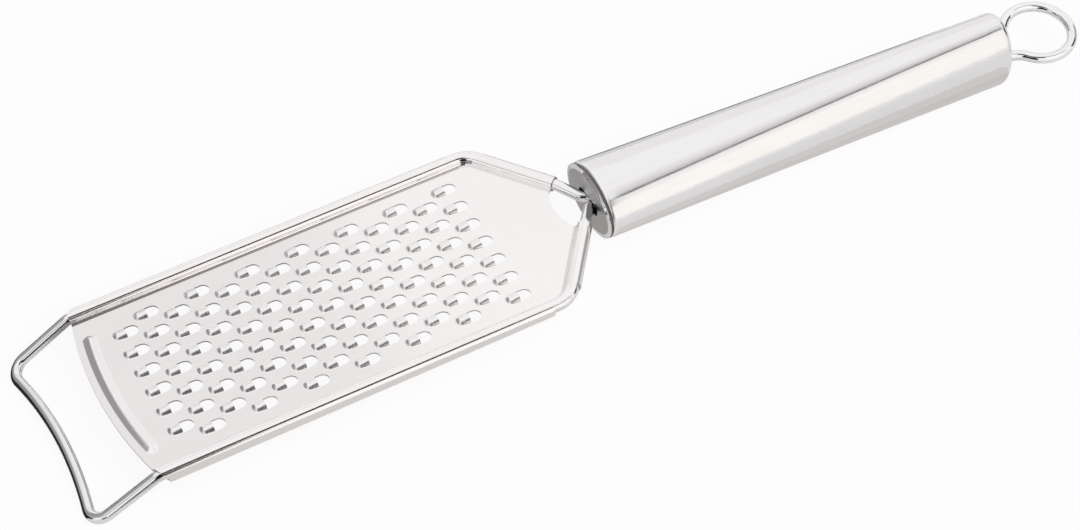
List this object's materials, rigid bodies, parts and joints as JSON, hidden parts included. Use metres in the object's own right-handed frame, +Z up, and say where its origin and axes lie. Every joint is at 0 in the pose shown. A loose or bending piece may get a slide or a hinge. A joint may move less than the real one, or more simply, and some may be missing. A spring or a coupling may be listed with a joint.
{
  "type": "hand grater",
  "caption": "Flat hand grater: a perforated toothed steel plate hemmed round a bent wire frame, with a hollow oval steel handle and a wire hanging ring.",
  "frame": {"origin": "on the surface it rests on, under the middle of its length and width", "axes": "+X runs back along the handle to the hanging ring, +Y across, +Z up, square to the surface it rests on"},
  "size_m": [0.3336, 0.0704, 0.0251],
  "materials": {
    "frame_wire": "bright drawn stainless wire",
    "plate_sheet": "smooth rolled stainless sheet with punched teeth",
    "handle_shell": "satin, brushed along the handle",
    "plug": "turned face, matt",
    "inner_fittings": "plain, as cut",
    "loop_wire": "polished stainless wire"
  },
  "bodies": {
    "root": {"frame_wire": "frame_wire", "grating_plate": "plate_sheet", "handle_tube": "handle_shell", "rear_cap": "handle_shell", "front_plug": "plug", "tang_sleeve": "inner_fittings", "loop_anchor": "inner_fittings", "hanging_loop": "loop_wire"}
  },
  "joints": []
}
